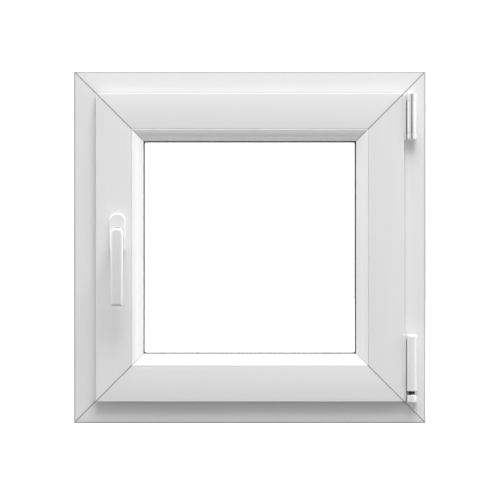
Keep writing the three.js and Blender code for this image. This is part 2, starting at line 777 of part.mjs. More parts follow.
// The lever: a round neck out of the rosette and a chamfered grip that hangs from it, round
// above the spindle, a little narrower and cut off square at its end.
function handleLever() {
  const gripFront = sashFrontY - lever.reach;
  const { chamfer } = lever;
  const top = lever.width / 2 - chamfer;
  const end = lever.endWidth / 2 - chamfer;
  const frontView = new THREE.Shape();
  frontView.moveTo(top, 0);
  frontView.absarc(0, 0, top, 0, Math.PI, false);
  frontView.lineTo(-end, chamfer - lever.length);
  frontView.lineTo(end, chamfer - lever.length);
  frontView.closePath();
  const grip = new THREE.ExtrudeGeometry(frontView, {
    depth: lever.thickness - 2 * chamfer, bevelEnabled: true, bevelSize: chamfer,
    bevelThickness: chamfer, bevelSegments: 2, curveSegments: 12,
  }).rotateX(Math.PI / 2).translate(0, gripFront + lever.thickness - chamfer, 0);
  const neckEnd = baseY[0] + hubRecess - gap;
  const neck = barY(hubRadius, [gripFront + neckSunk, neckEnd], 0, 0, 32);
  const socket = spindleSquare / 2 + socketFit;
  const hole = block([-socket, socket], [gripFront + socketFloor, neckEnd + 1], [-socket, socket]);
  return cut(join(grip, neck), hole).translate(handleX, 0, spindleHeight);
}
add(casement, 'handle_lever', handleLever(), coated);

const squareHalf = spindleSquare / 2;
add(casement, 'handle_spindle', block(
  [handleX - squareHalf, handleX + squareHalf],
  [sashFrontY - lever.reach + socketFloor + gap, grooveCentre + journalHalf],
  [spindleHeight - squareHalf, spindleHeight + squareHalf],
), steel);

// ---------------------------------------------------------------- lower hinge

const pinBore = hingePinRadius + runningGap;
const footY = [hingeY, frontY - gap];

// a ball on the frame's cup carries the sash; the pin above it is the turning axis
const { ballHeight, ballRadius, cupBottom, cupTop } = lowerHinge;
const pinTop = lowerCover.top - 4;
const ballPoints = [];
const ballSteps = 8;
const neckAngle = Math.acos(hingePinRadius / ballRadius);
for (let step = 0; step <= ballSteps; step += 1) {
  const angle = -Math.PI / 2 + ((neckAngle + Math.PI / 2) * step) / ballSteps;
  ballPoints.push([ballRadius * Math.cos(angle), ballHeight + ballRadius * Math.sin(angle)]);
}
ballPoints[0][0] = 0;
add(casement, 'lower_hinge_pin', turnedZ([
  ...ballPoints, [hingePinRadius, pinTop], [0, pinTop],
], hingeX, hingeY), steel);

const nut = [cupTop + 2, cupTop + 6];
add(casement, 'lower_hinge_nut', cut(
  barZ(5.4, nut, hingeX, hingeY, 6),
  barZ(pinBore, [nut[0] - 1, nut[1] + 1], hingeX, hingeY),
), nylon);

const cupBore = ballRadius + runningGap;
const foot = ([z0, z1]) => block([hingeX - barrelRadius, hingeX + barrelRadius], footY, [z0, z1]);
add(casement, 'lower_bearing', cut(
  join(barZ(barrelRadius, [cupBottom, cupTop], hingeX, hingeY, 32), foot([cupBottom, cupTop])),
  barZ(cupBore, [ballHeight - ballRadius - runningGap, cupTop + 1], hingeX, hingeY),
), coated);

// the hinge band: a tube on the pin, a leaf behind the sash lip and a leg along its edge
const bandZ = [lowerCover.bottom + 2, lowerCover.top - 3];
const coverBore = barrelRadius - lowerCover.wall;
const bandRadius = coverBore - runningGap;
const sashRightEdge = halfWidth - sashEdge;
const legX = sashRightEdge + gap;
const leafReach = [sashRightEdge + 4, hingeX - 1];
const bandLeafZ = [bandZ[0] + 6, bandZ[1] - 6];
add(casement, 'lower_hinge_band', cut(
  join(
    barZ(bandRadius, bandZ, hingeX, hingeY),
    block([hingeX - 10, hingeX - 1], [hingeY + 4, leafBackY], bandLeafZ),
    block(leafReach, [leafFrontY, leafBackY], bandLeafZ),
    block([legX, leafReach[0] + 4], [leafFrontY, leafBackY + 3], bandLeafZ),
    block([legX, legX + hingeLeg], [leafFrontY, grooveCentre + 14], bandLeafZ),
  ),
  barZ(pinBore, [bandZ[0] - 1, bandZ[1] + 1], hingeX, hingeY),
), zinc);

// the cover's outline is a circle squared a little, so that its front is flatter
function coverOutline({ steps, squareness }) {
  const points = [];
  for (let step = 0; step < steps; step += 1) {
    const angle = (2 * Math.PI * step) / steps;
    const side = (value) => Math.sign(value) * Math.abs(value) ** (2 / squareness) * barrelRadius;
    points.push([side(Math.cos(angle)), side(Math.sin(angle))]);
  }
  return outline(points);
}
const coverShell = new THREE.ExtrudeGeometry(
  coverOutline(lowerCover),
  { depth: lowerCover.top - lowerCover.bottom, bevelEnabled: false },
).translate(hingeX, hingeY, lowerCover.bottom);

const belowCover = lowerCover.bottom - 1;
add(casement, 'lower_hinge_cover', cut(
  coverShell,
  barZ(coverBore, [belowCover, lowerCover.top - lowerCover.wall], hingeX, hingeY, 32),
  block([hingeX - 12, hingeX - 0.5], [hingeY + 3, hingeY + 12], [belowCover, lowerCover.top - 6]),
), cap);

// ---------------------------------------------------------------- upper hinge and stay

const eyeZ = [windowHeight - upperHinge.fromTop - upperHinge.eye, windowHeight - upperHinge.fromTop];
const bearingZ = [eyeZ[0] - gap - upperHinge.bearing, eyeZ[0] - gap];
const collarZ = [bearingZ[0] - gap - upperHinge.collar, bearingZ[0] - gap];

add(casement, 'upper_bearing', cut(
  join(barZ(barrelRadius, bearingZ, hingeX, hingeY, 32), foot(bearingZ)),
  barZ(pinBore, [bearingZ[0] - 1, bearingZ[1] + 1], hingeX, hingeY),
), coated);

add(casement, 'upper_hinge_pin', turnedZ([
  [0, collarZ[0]],
  [barrelRadius - 1, collarZ[0]],
  [barrelRadius, collarZ[0] + 1],
  [barrelRadius, collarZ[1]],
  [hingePinRadius, collarZ[1]],
  [hingePinRadius, eyeZ[1] - 2],
  [0, eyeZ[1] - 2],
], hingeX, hingeY, 32), coated);

// The stay arm: an eye on the hinge pin, a leaf through the gap behind the sash lip, and a
// flat bar in the head's rebate with a stud that slides in the guide on the sash.
const barY0 = grooveCentre - stay.width / 2;
const barY1 = grooveCentre + stay.width / 2;
const stayZ = [stayBottom, stayBottom + stay.thickness];
const webX = [sashRightEdge + 4, sashRightEdge + 8];
const studBottom = windowHeight - grooveFloor + 1.3;
const webTop = windowHeight - frameFace - 1;
const stayArm = cut(
  join(
    barZ(barrelRadius, eyeZ, hingeX, hingeY, 32),
    block([hingeX - 10, hingeX - 1], [hingeY + 4, leafBackY], [eyeZ[0], eyeZ[1] - 2]),
    block([webX[0], hingeX - 1], [leafFrontY, leafBackY], [eyeZ[0], eyeZ[1] - 2]),
    block(webX, [leafFrontY, leafBackY], [stayZ[0], eyeZ[1] - 2]),
    block(webX, [leafFrontY, barY0 + 2], [stayZ[0], webTop]),
    block([studX, webX[1]], [barY0, barY1], stayZ),
    barZ(stay.width / 2, stayZ, studX, grooveCentre),
    barZ(stay.studRadius, [studBottom, stayZ[1] - 1], studX, grooveCentre, 20),
  ),
  barZ(pinBore, [eyeZ[0] - 1, eyeZ[1] - 1.5], hingeX, hingeY),
);
add(casement, 'stay_arm', stayArm, coated);

const slotHalf = stay.studRadius + stay.slotSlack;
const guideZ = [windowHeight - grooveFloor + gap, windowHeight - plateBottom];
const guideSeatZ = windowHeight - plateBottom - plateThickness;
const guideX = [studX - slotHalf - stay.guideEnd, studX + stayTravel + slotHalf + stay.guideEnd];
const channelY = [grooveCentre - rodChannel.width / 2 + gap, grooveCentre + rodChannel.width / 2 - gap];
add(casement, 'stay_guide', cut(
  join(block(guideX, plateY, [guideSeatZ, guideZ[1]]), block(guideX, channelY, guideZ)),
  block(
    [studX - slotHalf - 0.5, studX + stayTravel + slotHalf],
    [grooveCentre - slotHalf, grooveCentre + slotHalf],
    [guideZ[0] - 1, guideZ[1] + 1],
  ),
), zinc);

// the seal on the back of the sash lip stops at the two hinge leaves, and its stretch
// between them is a piece of its own
const sealU = [lipEdge + 2, lipEdge + 2 + sealWidth];
const sealY = [lipBackY + gap, frontY - gap];
const hingeSealZ = [bandLeafZ[1] + 1.5, stayZ[0] - 3];
const hingeSeal = block([halfWidth - sealU[1], halfWidth - sealU[0]], sealY, hingeSealZ);
add(casement, 'sash_lip_seal', cut(
  ring(sealU, sealY),
  block([webX[0] - 2, hingeX + 5], [lipBackY - 1, frontY + 1], [bandLeafZ[0] - 1.5, eyeZ[1] + 1]),
), rubber);
add(casement, 'sash_lip_seal_hinge', hingeSeal, rubber);

export default casement;
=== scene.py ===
from math import pi, radians

import bpy
import numpy as np
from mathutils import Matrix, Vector


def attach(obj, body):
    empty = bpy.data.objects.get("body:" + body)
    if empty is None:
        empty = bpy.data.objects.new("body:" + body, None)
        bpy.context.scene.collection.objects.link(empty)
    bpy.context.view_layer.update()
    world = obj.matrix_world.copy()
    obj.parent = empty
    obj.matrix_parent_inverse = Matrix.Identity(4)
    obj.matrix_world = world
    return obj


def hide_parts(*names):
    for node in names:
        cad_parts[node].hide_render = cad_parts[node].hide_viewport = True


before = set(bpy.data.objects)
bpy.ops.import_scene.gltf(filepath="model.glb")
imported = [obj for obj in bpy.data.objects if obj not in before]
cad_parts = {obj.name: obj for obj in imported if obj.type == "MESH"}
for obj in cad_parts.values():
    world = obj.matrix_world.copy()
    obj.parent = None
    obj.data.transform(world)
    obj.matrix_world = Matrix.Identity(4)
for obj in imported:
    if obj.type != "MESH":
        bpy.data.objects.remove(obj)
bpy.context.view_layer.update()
print("frame loaded:", len(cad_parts), "nodes")

# shapes are in millimetres: x to the right, y into the wall, z up
window = {"width": 600, "height": 600, "mitreGap": 0.01}
halfWidth, halfHeight = window["width"] / 2, window["height"] / 2
metresPerMm = 0.001
axisGap, pinAxisGap = 0.4, 0.3  # radius of the small disc that closes a turned surface at its axis


def runLengths(grid, axis):
    # distance walked along one direction of the grid: sum of |p(k+1) - p(k)|, averaged over the other
    steps = np.linalg.norm(np.diff(grid, axis=axis), axis=2).mean(axis=1 - axis)
    return np.concatenate([[0.0], np.cumsum(steps)])


def shell(grid, along=None, weld=None, closedRows=False):
    # a grid of points p(row, column) as quads (p00, p01, p11, p10); each row closes on itself, and each
    # open end is closed by one face
    grid = np.asarray(grid, float)
    rows, columns = grid.shape[:2]
    index = np.arange(rows * columns).reshape(rows, columns)
    index, walked = np.hstack([index, index[:, :1]]), np.concatenate([grid, grid[:, :1]], 1)
    if closedRows:
        index, walked = np.vstack([index, index[:1]]), np.concatenate([walked, walked[:1]], 0)
    lengthwise = runLengths(walked, 0)[:, None] if along is None else np.hstack([along, along[:, :1]])
    flow = np.stack(np.broadcast_arrays(lengthwise, runLengths(walked, 1)[None]), -1)
    low, high = slice(0, -1), slice(1, None)
    corners = [(low, low), (low, high), (high, high), (high, low)]
    quads = np.stack([index[c] for c in corners], -1).reshape(-1, 4)
    quadFlow = np.stack([flow[c] for c in corners], 2).reshape(-1, 4, 2)
    faces, flows = list(quads), list(quadFlow)
    if not closedRows:
        for row, turn in ((0, -1), (-1, 1)):
            faces.append(index[row, :columns][::turn])
            flows.append(flow[row, :columns][::turn])
    points = grid.reshape(-1, 3)
    if enclosed(points, faces) < 0:
        faces, flows = [f[::-1] for f in faces], [f[::-1] for f in flows]
    mask = np.zeros(len(points)) if weld is None else np.broadcast_to(weld, (rows, columns)).reshape(-1)
    return {"points": points, "faces": faces, "flows": flows, "weld": mask}


def enclosed(points, faces):
    # signed volume: a sixth of the sum of a . (b x c) over each face's fan of triangles
    total = 0.0
    for size in {len(f) for f in faces}:
        fan = points[np.array([f for f in faces if len(f) == size])]
        crossed = np.cross(fan[:, 1:-1], fan[:, 2:])
        total += np.einsum("ijk,ijk->", np.broadcast_to(fan[:, :1], crossed.shape), crossed) / 6
    return total


def makePiece(name, shells, body, finish, replaces=(), sharpAbove=32):
    # joins shells into one mesh with a "flow" UV in metres (along, across) and a "weld" mask
    offsets = np.cumsum([0] + [len(s["points"]) for s in shells[:-1]])
    points = np.concatenate([s["points"] for s in shells]) * metresPerMm
    faces = [(f + offset).tolist() for s, offset in zip(shells, offsets) for f in s["faces"]]
    flows = np.concatenate([f for s in shells for f in s["flows"]]) * metresPerMm
    mesh = bpy.data.meshes.new(name)
    mesh.from_pydata(points, [], faces)
    mesh.uv_layers.new(name="flow").data.foreach_set("uv", flows.ravel())
    mask = mesh.attributes.new("weld", "FLOAT", "POINT")
    mask.data.foreach_set("value", np.concatenate([s["weld"] for s in shells]))
    mesh.materials.append(finish)
    mesh.shade_smooth()
    mesh.set_sharp_from_angle(angle=radians(sharpAbove))
    piece = bpy.data.objects.new(name, mesh)
    bpy.context.scene.collection.objects.link(piece)
    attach(piece, body)
    if replaces:
        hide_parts(*replaces)


def roundCorners(corners, radius, steps=4):
    # each corner c becomes (1-t)^2 a + 2t(1-t) c + t^2 b, with a and b a radius away on its two edges
    c = np.array(corners, float)
    radius = np.broadcast_to(radius, len(c))[:, None]

    def pointOn(edge):
        length = np.linalg.norm(edge, axis=1, keepdims=True)
        return c + edge / length * np.minimum(radius, 0.48 * length)

    a, b = pointOn(np.roll(c, 1, 0) - c), pointOn(np.roll(c, -1, 0) - c)
    t = np.linspace(0, 1, steps + 1)[None, :, None]
    curve = (1 - t) ** 2 * a[:, None] + 2 * t * (1 - t) * c[:, None] + t ** 2 * b[:, None]
    return curve.reshape(-1, 2)


def roundBends(points, radius, steps=4):
    # the same curve at each inner point of an open line, whose two ends stay as they are
    p = np.array(points, float)
    closed = roundCorners(p, radius, steps)
    return np.concatenate([p[:1], closed[steps + 1:-(steps + 1)], p[-1:]])


def outwardNormals(profile):
    # normal of a closed profile: its tangent turned a quarter, pointing away from the inside
    tangent = np.roll(profile, -1, 0) - np.roll(profile, 1, 0)
    normal = np.stack([tangent[:, 1], -tangent[:, 0]], 1)
    normal /= np.maximum(np.linalg.norm(normal, axis=1, keepdims=True), 1e-9)
    following = np.roll(profile, -1, 0)
    area = (profile[:, 0] * following[:, 1] - following[:, 0] * profile[:, 1]).sum()
    return normal * np.sign(area)


sideTurn = {"sill": 0, "left": 90, "head": 180, "right": -90}


def ontoSide(x, y, u, side):
    # side coordinates (x along, y, u inwards from the outer edge) turned about Y onto one side
    turn = radians(sideTurn[side])
    across = halfWidth if side in ("left", "right") else halfHeight
    z = u - across
    return np.stack(np.broadcast_arrays(
        x * np.cos(turn) + z * np.sin(turn), y, halfHeight - x * np.sin(turn) + z * np.cos(turn)), -1)


def mitredMember(profile, side, groove):
    # profile (u, y) carried along x from -(L - u - e) to L - u - e, sunk by depth(e) beside each mitre
    halfAlong = halfHeight if side in ("left", "right") else halfWidth
    setback = np.array(groove["setback"], float)
    depth = np.array(groove["depth"], float)
    mask = np.array(groove["mask"], float)
    sunk = profile[None] - outwardNormals(profile)[None] * depth[:, None, None]
    reach = halfAlong - window["mitreGap"] - sunk[..., 0] - setback[:, None]
    x = np.concatenate([-reach, reach[::-1]])
    u, y = [np.concatenate([sunk[..., k], sunk[::-1, :, k]]) for k in (0, 1)]
    weld = np.concatenate([mask, mask[::-1]])[:, None]
    return shell(ontoSide(x, y, u, side), along=x, weld=weld)


def ringSweep(profile, cornerReach, steps=6):
    # profile (u, y) carried round the window: corner centre + (reach - u)(cos a, sin a)
    quarter = np.linspace(0, pi / 2, steps + 1)
    angle = (quarter[None] + np.arange(4)[:, None] * pi / 2).reshape(-1, 1)
    signX = np.repeat([1, -1, -1, 1], steps + 1)[:, None]
    signZ = np.repeat([1, 1, -1, -1], steps + 1)[:, None]
    radius = cornerReach - profile[None, :, 0]
    x = signX * (halfWidth - cornerReach) + radius * np.cos(angle)
    z = halfHeight + signZ * (halfHeight - cornerReach) + radius * np.sin(angle)
    y = np.broadcast_to(profile[None, :, 1], x.shape)
    return shell(np.stack([x, y, z], -1), closedRows=True)


def lathe(profile, centre, axis="z", steps=48, closed=False):
    # profile (radius, height) turned about an axis: centre + r (cos a, sin a) + h axis
    profile = np.array(profile, float)
    angle = np.linspace(0, 2 * pi, steps, endpoint=False)[None]
    r, h = profile[:, :1], profile[:, 1:] + 0 * angle
    first, second = centre[0] + r * np.cos(angle), centre[1] + r * np.sin(angle)
    points = [first, second, h] if axis == "z" else [first, h, second]
    return shell(np.stack(points, -1), closedRows=closed)


def superellipse(radius, squareness, steps):
    # r sign(cos a)|cos a|^(2/n), r sign(sin a)|sin a|^(2/n)
    angle = np.linspace(0, 2 * pi, steps, endpoint=False)
    side = [np.sign(f) * np.abs(f) ** (2 / squareness) for f in (np.cos(angle), np.sin(angle))]
    return radius * np.stack(side, -1)


def roundedBlock(low, high, radius=0.8, steps=3):
    # a box whose z edges are rounded in plan and whose top and bottom rims step in along a quarter round
    size = [(high[k] - low[k]) / 2 for k in range(3)]
    middle = [(high[k] + low[k]) / 2 for k in range(3)]
    radius = min(radius, 0.45 * min(size))
    turn = np.linspace(0, pi / 2, steps + 1)
    inset = np.concatenate([radius * (1 - np.sin(turn)), radius * (1 - np.cos(turn))])
    height = np.concatenate([-size[2] + radius * (1 - np.cos(turn)), size[2] - radius * (1 - np.sin(turn))])
    corner = (turn[None] + np.arange(4)[:, None] * pi / 2).reshape(-1)
    signs = np.repeat([[1, 1], [-1, 1], [-1, -1], [1, -1]], steps + 1, axis=0)
    reach = np.array(size[:2]) - radius
    arc = np.stack([np.cos(corner), np.sin(corner)], -1)
    plan = signs * reach + arc * (radius - inset)[:, None, None]
    z = np.broadcast_to(height[:, None, None], plan.shape[:2] + (1,))
    return shell(np.concatenate([plan, z], -1) + np.array(middle))


class Wire:
    # one output socket; + - * / ** with numbers or other wires add Math nodes
    def __init__(self, finish, socket):
        self.finish, self.socket = finish, socket

    def maths(self, operation, first, second):
        return self.finish.put("ShaderNodeMath", {"operation": operation}, {0: first, 1: second})

    def __add__(self, other):
        return self.maths("ADD", self, other)

    def __radd__(self, other):
        return self.maths("ADD", other, self)

    def __sub__(self, other):
        return self.maths("SUBTRACT", self, other)

    def __rsub__(self, other):
        return self.maths("SUBTRACT", other, self)

    def __mul__(self, other):
        return self.maths("MULTIPLY", self, other)

    def __rmul__(self, other):
        return self.maths("MULTIPLY", other, self)

    def __truediv__(self, other):
        return self.maths("DIVIDE", self, other)

    def __pow__(self, other):
        return self.maths("POWER", self, other)


class Finish:
    # a sheet of nodes: a new material's, or the one that is given
    def __init__(self, name, tree=None):
        if tree is None:
            self.material = bpy.data.materials.new(name)
            self.material.use_nodes = True
            tree = self.material.node_tree
            tree.nodes.clear()
        self.tree = tree

    def put(self, kind, settings=None, inputs=None, output=0):
        node = self.tree.nodes.new(kind)
        for key, value in (settings or {}).items():
            if key == "stops":
                for k, (place, grey) in enumerate(value):
                    stops = node.color_ramp.elements
                    stop = stops[k] if k < len(stops) else stops.new(place)
                    stop.position, stop.color = place, (grey, grey, grey, 1)
            else:
                setattr(node, key, value)
        for key, value in (inputs or {}).items():
            if isinstance(value, Wire):
                self.tree.links.new(value.socket, node.inputs[key])
            else:
                node.inputs[key].default_value = value
        return Wire(self, node.outputs[output]) if len(node.outputs) else None

    def place(self):
        return self.put("ShaderNodeTexCoord", output="Object")

    def flow(self, alongScale, acrossScale):
        # the piece's own (along, across) map in metres, stretched for lines that run along it
        uv = self.put("ShaderNodeUVMap", {"uv_map": "flow"})
        return self.put("ShaderNodeVectorMath", {"operation": "MULTIPLY"},
                        {0: uv, 1: (alongScale, acrossScale, 1)})

    def noise(self, vector, scale, detail=2, roughness=0.5):
        return self.put("ShaderNodeTexNoise", None,
                        {"Vector": vector, "Scale": scale, "Detail": detail, "Roughness": roughness})

    def ramp(self, value, stops):
        return self.put("ShaderNodeValToRGB", {"stops": stops}, {"Fac": value})

    def blend(self, factor, first, second):
        return self.put("ShaderNodeMix", {"data_type": "RGBA"}, {0: factor, 6: first, 7: second}, output=2)

    def bump(self, height, distance, strength=1.0):
        return self.put("ShaderNodeBump", None,
                        {"Height": height, "Distance": distance, "Strength": strength})

    def principled(self, **values):
        inputs = {key.replace("_", " "): value for key, value in values.items()}
        shader = self.put("ShaderNodeBsdfPrincipled", None, inputs)
        return self.close(shader)

    def close(self, shader):
        self.put("ShaderNodeOutputMaterial", None, {"Surface": shader})
        return self.material


def grey(level):
    return (level, level, level, 1)


extrudedPvc = {
    "member": {"colour": 0.875, "streak": 0.85, "weld": 0.36, "roughness": 0.3},
    "bead": {"colour": 0.96, "streak": 0.94, "weld": 0.4, "roughness": 0.26},
    # scales of each texture, per metre: (along, across) the member, or the same in all directions
    "dieLines": (2.5, 900), "bands": (0.8, 60), "scrapes": (2600, 300), "clouds": 7, "ripple": 420,
    "streakStops": [(0.38, 0.0), (0.64, 1.0)], "ior": 1.53, "bump": 0.00005,
}
# painted shade: a grey band over the frame's outermost millimetres, standing in for the shade of its
# rounded outer edge
paintedEdgeShade = {"middle": 0.3, "start": 0.2966, "fade": 0.0012, "strength": 0.85, "colour": 0.5}


def pvcFinish(kind):
    # die lines run along each member, the mitre's cleaned weld is duller, and the skin is faintly rippled:
    # streak = 0.55 die lines + 0.25 bands + 0.2 clouds, and
    # height = 0.35 die lines + 0.3 ripple + 1.6 weld scrapes
    look = extrudedPvc[kind]
    f = Finish(kind + "White")
    dieLines = f.noise(f.flow(*extrudedPvc["dieLines"]), 1, detail=3, roughness=0.65)
    broadBands = f.noise(f.flow(*extrudedPvc["bands"]), 1, detail=1)
    clouds = f.noise(f.place(), extrudedPvc["clouds"], detail=3)
    weld = f.put("ShaderNodeAttribute", {"attribute_name": "weld"}, output="Fac")
    scrapes = f.noise(f.flow(*extrudedPvc["scrapes"]), 1, detail=2)
    ripple = f.noise(f.place(), extrudedPvc["ripple"], detail=2)
    streak = f.ramp(0.55 * dieLines + 0.25 * broadBands + 0.2 * clouds, extrudedPvc["streakStops"])
    skin = f.blend(streak, grey(look["streak"]), grey(look["colour"]))
    welded = f.blend(weld * (0.8 + 0.3 * scrapes), skin, grey(look["weld"]))
    # painted shade on the frame's outermost edge, where its rounded edge turns away from the light:
    # max(|x|, |z - h / 2|) over the last millimetres
    across, up = (f.put("ShaderNodeSeparateXYZ", None, {0: f.place()}, output=part) for part in (0, 2))
    fromMiddle = across.maths("MAXIMUM", across.maths("ABSOLUTE", across, 0),
                              across.maths("ABSOLUTE", up - paintedEdgeShade["middle"], 0))
    edgeShade = f.ramp((fromMiddle - paintedEdgeShade["start"]) / paintedEdgeShade["fade"], [(0.0, 0.0), (1.0, 1.0)])
    # the frame's outer edge is greyed here by painted shade
    colour = f.blend(edgeShade * paintedEdgeShade["strength"], welded, grey(paintedEdgeShade["colour"]))
    height = dieLines * 0.35 + ripple * 0.3 + weld * scrapes * 1.6
    return f.principled(Base_Color=colour, Roughness=look["roughness"] + 0.1 * dieLines + 0.2 * weld,
                        IOR=extrudedPvc["ior"], Normal=f.bump(height, extrudedPvc["bump"], 0.5))


paintedMetal = {
    "colour": 0.88, "worn": 0.84, "speck": 0.7, "roughness": 0.2, "ior": 1.5, "coat": 0.35,
    "coatRoughness": 0.12, "peel": 900, "fine": 3800, "clouds": 30, "specks": 1500,
    "speckStops": [(0.76, 0.0), (0.8, 1.0)], "bump": 0.00006,
}


def paintFinish():
    # sprayed enamel: orange peel about a millimetre across (0.7 peel + 0.3 fine), with a few fine specks
    look = paintedMetal
    f = Finish("coatedWhite")
    peel = f.noise(f.place(), look["peel"], detail=2)
    fine = f.noise(f.place(), look["fine"], detail=1)
    clouds = f.noise(f.place(), look["clouds"], detail=3)
    specks = f.ramp(f.noise(f.place(), look["specks"], detail=0), look["speckStops"])
    skin = f.blend(clouds, grey(look["worn"]), grey(look["colour"]))
    colour = f.blend(specks * 0.25, skin, grey(look["speck"]))
    return f.principled(Base_Color=colour, Roughness=look["roughness"] + 0.12 * clouds, IOR=look["ior"],
                        Coat_Weight=look["coat"], Coat_Roughness=look["coatRoughness"],
                        Normal=f.bump(peel * 0.7 + fine * 0.3, look["bump"], 0.45))


mouldedCap = {
    "colour": 0.85, "shade": 0.82, "roughness": 0.33, "ior": 1.5, "grain": 2600, "flowMarks": 45,
    "bump": 0.00004,
}


def capFinish():
    # injection-moulded cover: a fine spark-eroded grain and slow flow marks
    look = mouldedCap
    f = Finish("mouldedWhite")
    grain = f.noise(f.place(), look["grain"], detail=2)
    flowMarks = f.noise(f.place(), look["flowMarks"], detail=2)
    colour = f.blend(flowMarks, grey(look["shade"]), grey(look["colour"]))
    return f.principled(Base_Color=colour, Roughness=look["roughness"] + 0.14 * grain, IOR=look["ior"],
                        Normal=f.bump(grain, look["bump"], 0.5))


metalFinishes = {
    "zinc": {"low": (0.48, 0.49, 0.51, 1), "high": (0.66, 0.67, 0.69, 1),
             "roughness": 0.3, "cell": 60},
    "galvanised": {"low": (0.42, 0.44, 0.46, 1), "high": (0.62, 0.64, 0.66, 1),
                   "roughness": 0.42, "cell": 110},
    "aluminium": {"low": (0.68, 0.69, 0.7, 1), "high": (0.82, 0.83, 0.84, 1),
                  "roughness": 0.34, "cell": 25},
    "scratches": 1400, "bump": 0.00003,
}


def metalFinish(name):
    # metal in cell-sized patches: colour = 0.45 patch + 0.55 clouds, under fine scratches
    look = metalFinishes[name]
    f = Finish(name + "Metal")
    cells = {"Vector": f.place(), "Scale": look["cell"]}
    patches = f.put("ShaderNodeTexVoronoi", None, cells, output="Color")
    patch = f.put("ShaderNodeSeparateColor", None, {"Color": patches})
    clouds = f.noise(f.place(), look["cell"] * 0.4, detail=4)
    scratches = f.noise(f.place(), metalFinishes["scratches"], detail=3, roughness=0.7)
    colour = f.blend(0.45 * patch + 0.55 * clouds, look["low"], look["high"])
    roughness = look["roughness"] + 0.18 * scratches - 0.08 * patch
    return f.principled(Base_Color=colour, Metallic=1.0, Roughness=roughness,
                        Normal=f.bump(scratches, metalFinishes["bump"], 0.4))


rubber = {
    # the 0.3 grey of the upper hinge's front strip is painted shade, standing in for the shadow down a
    # groove
    "greySeal": 0.06, "paintedShadeGrey": 0.3, "blackSeal": 0.022, "darkNylon": 0.03,
    "dust": 0.008, "bloom": 55, "pores": 2400, "roughness": 0.58, "ior": 1.45, "specular": 0.18,
    "bump": 0.00005,
}


def sealFinish(name):
    # extruded rubber or nylon: matt and finely pored, with a bloom of lighter dust
    f = Finish(name)
    bloom = f.noise(f.place(), rubber["bloom"], detail=4)
    pores = f.noise(f.place(), rubber["pores"], detail=2)
    base = rubber[name]
    colour = f.blend(bloom, grey(base * 0.8), grey(base * 1.25 + rubber["dust"]))
    return f.principled(Base_Color=colour, Roughness=rubber["roughness"] + 0.25 * bloom, IOR=rubber["ior"],
                        Specular_IOR_Level=rubber["specular"], Normal=f.bump(pores, rubber["bump"], 0.6))


floatGlass = {"tint": (0.985, 0.993, 0.989, 1), "mirror": (1, 1, 1, 1), "roughness": 0.01, "headOn": 0.04}


def glassFinish():
    # clear float glass: what lies behind it, plus a mirror whose share is 0.04 + 0.96 (1 - cos a)^5
    f = Finish("clearGlass")
    facing = f.put("ShaderNodeLayerWeight", None, {"Blend": 0.5}, output="Facing")
    clear = f.put("ShaderNodeBsdfTransparent", None, {"Color": floatGlass["tint"]})
    mirror = f.put("ShaderNodeBsdfGlossy", None,
                   {"Color": floatGlass["mirror"], "Roughness": floatGlass["roughness"]})
    share = floatGlass["headOn"] + (1 - floatGlass["headOn"]) * facing ** 5
    return f.close(f.put("ShaderNodeMixShader", None, {0: share, 1: clear, 2: mirror}))


finishes = {
    "pvc_white": pvcFinish("member"), "pvc_bead": pvcFinish("bead"), "coated_white": paintFinish(),
    "cap_white": capFinish(), "zinc_hardware": metalFinish("zinc"),
    "galvanised_steel": metalFinish("galvanised"), "spacer_aluminium": metalFinish("aluminium"),
    "grey_seal": sealFinish("greySeal"), "black_seal": sealFinish("blackSeal"),
    "dark_nylon": sealFinish("darkNylon"), "window_glass": glassFinish(),
    # the hinge strip's grey finish is painted shade
    "insert_grey": sealFinish("paintedShadeGrey"),
}
print("finishes made:", len(finishes))


# beside each mitre: distance from its plane, depth of the groove there, and how much of it is weld
weldGroove = {
    "setback": [0, 0.4, 0.95, 1.5, 4.0], "depth": [1.0, 0.7, 0.14, 0, 0], "mask": [1, 1, 0.6, 0.1, 0],
}
beadGroove = {"setback": [0, 0.3, 0.8, 3.0], "depth": [0.45, 0.2, 0, 0], "mask": [0.9, 0.6, 0.1, 0]}

frameProfile = {
    "corners": [(0, -35), (46, -35), (46, 20), (66, 20), (66, 35), (0, 35), (0, 24), (2.4, 24), (2.4, 14),
                (0, 14), (0, -14), (2.4, -14), (2.4, -24), (0, -24)],
    "radii": [1.4, 1.0, 0.8, 1.6, 1.6, 1.4, 0.4, 0.4, 0.4, 0.4, 0.4, 0.4, 0.4, 0.4],
}
sashProfile = {
    "corners": [(38, -50), (98, -50), (98, 4), (118, 4), (118, 16), (58, 16), (58, -17), (61, -17),
                (61, -19), (67, -19), (67, -31), (61, -31), (61, -33), (58, -33), (58, -38), (38, -38)],
    "radii": [1.0, 0.7, 0.6, 1.6, 1.6, 1.6, 0.5, 0.3, 0.3, 0.5, 0.5, 0.3, 0.3, 0.5, 0.6, 0.8],
}
beadProfile = {
    "corners": [(98.3, -49.8), (99.6, -49.9), (106.6, -47.2), (110.2, -44.6), (118.9, -40.8), (119, -26.2),
                (98.3, -26.2)],
    "radii": [0.5, 0.8, 2.0, 2.0, 1.0, 0.5, 0.5],
}
sideNames = {
    "frame": {"sill": "frame_sill", "left": "frame_jamb_left", "head": "frame_head",
              "right": "frame_jamb_right"},
    "sash": {"sill": "sash_sill", "left": "sash_stile_left", "head": "sash_head",
             "right": "sash_stile_right"},
    "bead": {"sill": "bead_bottom", "left": "bead_left", "head": "bead_top", "right": "bead_right"},
}

for family, profile, groove, body, finish in (("frame", frameProfile, weldGroove, "frame", "pvc_white"),
                                              ("sash", sashProfile, weldGroove, "sash", "pvc_white"),
                                              ("bead", beadProfile, beadGroove, "sash", "pvc_bead")):
    rounded = roundCorners(profile["corners"], profile["radii"])
    for side, node in sideNames[family].items():
        makePiece(node + "_skin", [mitredMember(rounded, side, groove)], body,
                  finishes[finish], replaces=[node])
print("frame, sash and beads made")


